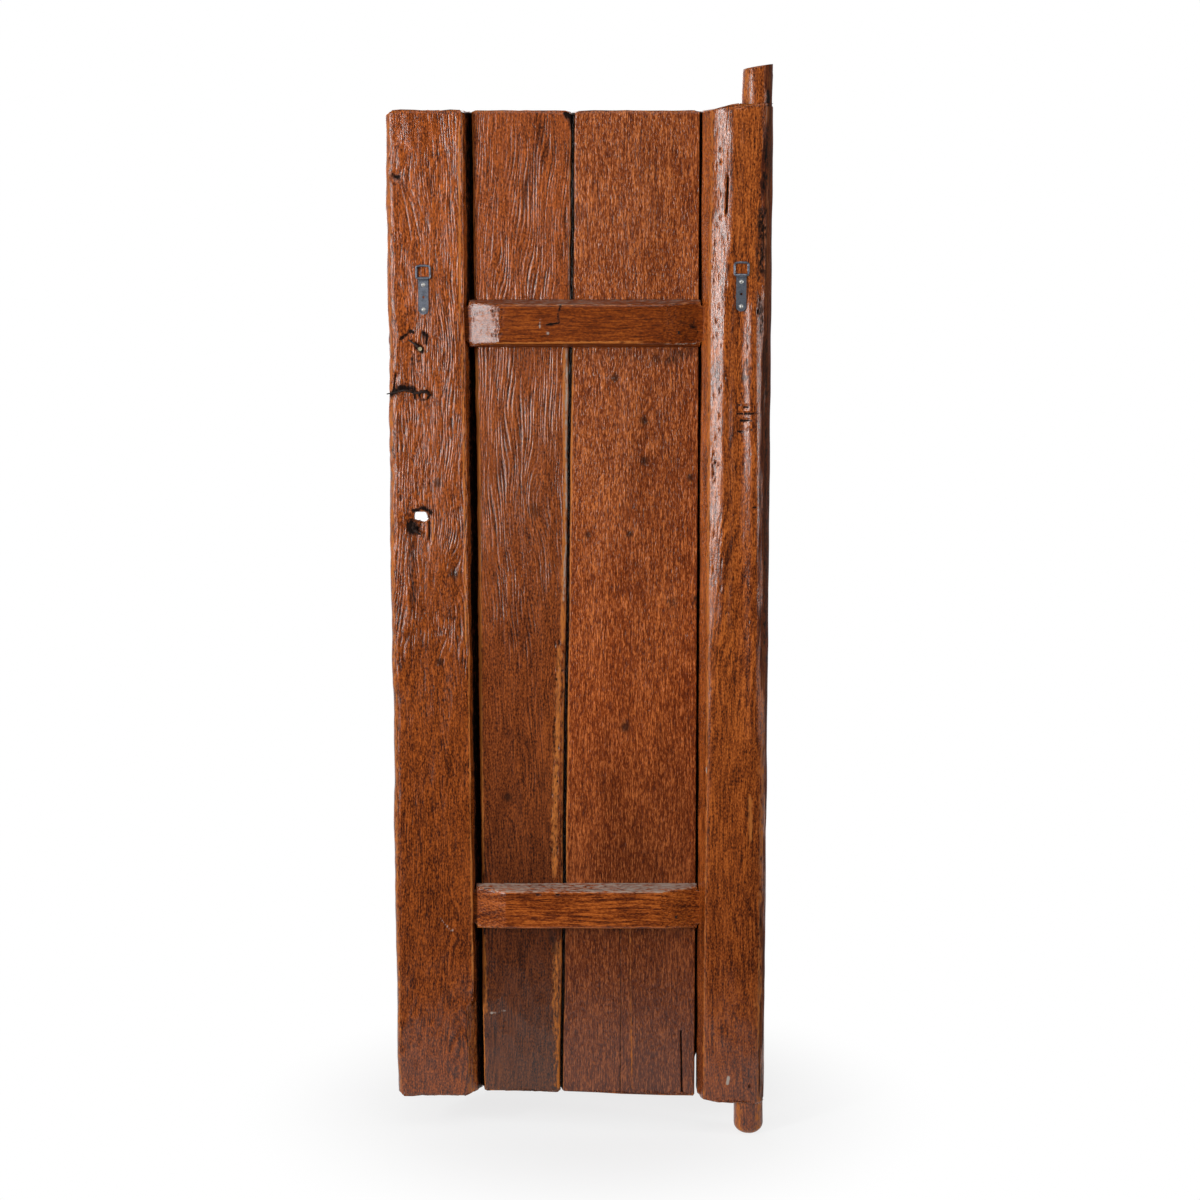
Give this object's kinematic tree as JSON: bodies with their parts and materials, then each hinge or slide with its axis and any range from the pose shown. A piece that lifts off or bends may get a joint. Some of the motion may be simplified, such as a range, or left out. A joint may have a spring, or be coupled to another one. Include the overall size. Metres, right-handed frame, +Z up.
{
  "type": "pivot-hung plank door leaf",
  "caption": "Rustic plank door leaf that turns on round wooden pivots, with hewn stiles, bevelled battens tenoned across its back and steel hanging rings.",
  "frame": {"origin": "on the pivot axis, at the shoulder of the bottom pivot", "axes": "+Z up along the pivot axis; +Y out of the plain front face, so the batten side faces -Y; +X towards the hinge side as seen from the batten side"},
  "size_m": [0.6917, 0.0871, 1.9707],
  "materials": {
    "stile_timber": "stained and varnished, satin, worn",
    "plank_timber": "stained and varnished, satin, rough sawn",
    "batten_timber": "stained and varnished, satin, hewn",
    "old_iron": "forged, black and rusted",
    "zinc_steel": "zinc plated",
    "screw_steel": "bright zinc plated"
  },
  "bodies": {
    "leaf": {"lock_stile": "stile_timber", "hinge_stile": "stile_timber", "narrow_plank": "plank_timber", "wide_plank": "plank_timber", "upper_batten": "batten_timber", "lower_batten": "batten_timber", "plank_nails": "old_iron", "upper_split_pin": "old_iron", "middle_split_pin": "old_iron", "lower_split_pin": "old_iron", "lock_hanger_strap": "zinc_steel", "lock_hanger_screws": "screw_steel", "hinge_hanger_strap": "zinc_steel", "hinge_hanger_screws": "screw_steel"},
    "lock_ring": {"lock_hanger_ring": "zinc_steel"},
    "hinge_ring": {"hinge_hanger_ring": "zinc_steel"}
  },
  "joints": [
    {"name": "lock_ring_swing", "type": "hinge", "parent": "leaf", "child": "lock_ring", "pos_m": [-0.5945, -0.01706, 1.53], "axis": [1, 0, 0], "range_deg": [0, 176]},
    {"name": "hinge_ring_swing", "type": "hinge", "parent": "leaf", "child": "hinge_ring", "pos_m": [-0.0275, -0.03706, 1.536], "axis": [1, 0, 0], "range_deg": [0, 176]}
  ]
}
